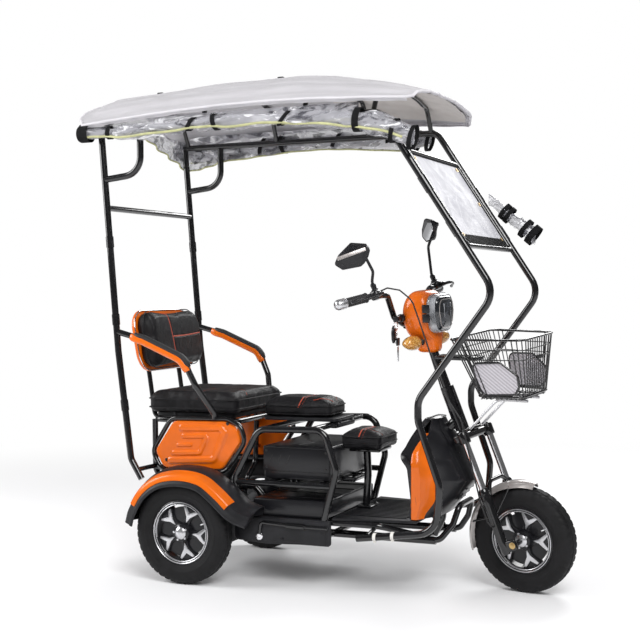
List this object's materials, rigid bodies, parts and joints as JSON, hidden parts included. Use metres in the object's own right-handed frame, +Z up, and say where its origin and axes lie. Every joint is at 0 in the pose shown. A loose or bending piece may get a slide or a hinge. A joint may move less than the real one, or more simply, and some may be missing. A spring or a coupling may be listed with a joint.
{
  "type": "electric tricycle with canopy",
  "caption": "Electric tricycle: steel tube frame, passenger seat with armrests, tipping driver's saddle, small front seat, wire basket and a full-length cloth canopy.",
  "frame": {"origin": "centre of the footprint of the whole vehicle, on the ground", "axes": "+X forward, +Y to the vehicle's left, +Z up"},
  "size_m": [1.8054, 0.792, 1.848],
  "materials": {
    "black_paint": "gloss black",
    "orange": "gloss orange",
    "black_plastic": "moulded black",
    "tyre_rubber": "matt black",
    "grip_rubber": "matt black",
    "leather": "grained black",
    "canopy_cloth": "pale coated cloth",
    "clear_film": "clear flexible film",
    "chrome": "bright plated",
    "silver_paint": "silver grey",
    "amber": "amber lens"
  },
  "bodies": {
    "chassis": {"armrest_pad_left": "leather", "armrest_pad_right": "leather", "backrest_cushion": "leather", "backrest_posts": "black_paint", "backrest_shell": "orange", "battery_box": "black_plastic", "canopy": "canopy_cloth", "child_cushion": "leather", "child_seat_post": "black_paint", "curtain_roll_left": "clear_film", "curtain_roll_right": "clear_film", "drive_unit": "black_paint", "fender_band_left": "orange", "fender_band_right": "orange", "footboard": "black_plastic", "front_cover": "black_plastic", "front_frame": "black_paint", "leg_shield": "black_plastic", "lower_casing_left": "black_plastic", "lower_casing_right": "black_plastic", "main_frame": "black_paint", "passenger_cushion": "leather", "passenger_seat_pan": "black_paint", "rear_axle": "black_paint", "rear_fender_left": "black_plastic", "rear_fender_right": "black_plastic", "rear_posts": "black_paint", "roof_frame": "black_paint", "seat_frame": "black_paint", "shield_band_left": "orange", "shield_band_right": "orange", "side_hoops": "black_paint", "side_panel_left": "orange", "side_panel_right": "orange", "tool_box": "black_plastic", "windscreen": "clear_film"},
    "steering": {"brake_cable": "black_plastic", "steering_column": "chrome", "fork_legs": "black_paint", "front_fender": "silver_paint", "handlebar": "black_paint", "grip_left": "grip_rubber", "grip_right": "grip_rubber", "headlamp_cowl": "orange", "headlamp": "chrome", "turn_signal_left": "amber", "turn_signal_right": "amber", "mirror_left": "black_plastic", "mirror_right": "black_plastic", "basket": "black_paint", "basket_stay": "chrome"},
    "front_wheel": {"front_tyre": "tyre_rubber", "front_rim": "black_plastic"},
    "rear_wheel_right": {"rear_right_tyre": "tyre_rubber", "rear_right_rim": "black_plastic"},
    "rear_wheel_left": {"rear_left_tyre": "tyre_rubber", "rear_left_rim": "black_plastic"},
    "saddle": {"saddle_pan": "black_paint", "saddle_cushion": "leather"}
  },
  "joints": [
    {"name": "steering_turn", "type": "hinge", "parent": "chassis", "child": "steering", "pos_m": [0.43649, 0, 0.7], "axis": [-0.3584, 0, 0.9336], "range_deg": [-15.2, 40.8]},
    {"name": "front_wheel_spin", "type": "hinge", "parent": "steering", "child": "front_wheel", "pos_m": [0.71968, -0.0183, 0.18703], "axis": [0.2068, 0.9751, 0.0794], "continuous": true},
    {"name": "rear_wheel_right_spin", "type": "hinge", "parent": "chassis", "child": "rear_wheel_right", "pos_m": [-0.4635, -0.335, 0.1875], "axis": [0, 1, 0], "continuous": true},
    {"name": "rear_wheel_left_spin", "type": "hinge", "parent": "chassis", "child": "rear_wheel_left", "pos_m": [-0.4635, 0.335, 0.1875], "axis": [0, 1, 0], "continuous": true},
    {"name": "saddle_tip", "type": "hinge", "parent": "chassis", "child": "saddle", "pos_m": [0.0325, 0, 0.567], "axis": [0, 1, 0], "range_deg": [0, 70]}
  ]
}
